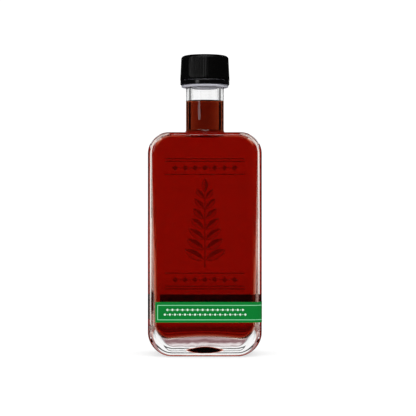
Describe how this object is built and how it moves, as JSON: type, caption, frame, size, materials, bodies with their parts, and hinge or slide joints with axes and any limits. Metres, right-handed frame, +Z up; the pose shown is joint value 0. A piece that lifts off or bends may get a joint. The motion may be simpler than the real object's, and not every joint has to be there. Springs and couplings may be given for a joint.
{
  "type": "maple syrup bottle",
  "caption": "Flat clear glass flask filled with dark red-brown maple syrup, shut with a black screw cap, with a green paper strip round one side.",
  "frame": {"origin": "middle of the base, on the surface that the bottle stands on", "axes": "+Z up, +X across the wide face towards the side that the paper strip wraps, +Y out of the front face; -Y is the back"},
  "size_m": [0.0758, 0.0492, 0.2],
  "materials": {
    "clear_glass": "clear polished glass",
    "maple_syrup": "clear dark red-brown liquid",
    "black_cap": "black moulded plastic with fine ribs",
    "black_band": "glossy black plastic",
    "green_paper": "green printed paper"
  },
  "bodies": {
    "root": {"glass_bottle": "clear_glass", "syrup": "maple_syrup", "cap": "black_cap", "tamper_band": "black_band", "label_band": "green_paper"}
  },
  "joints": []
}
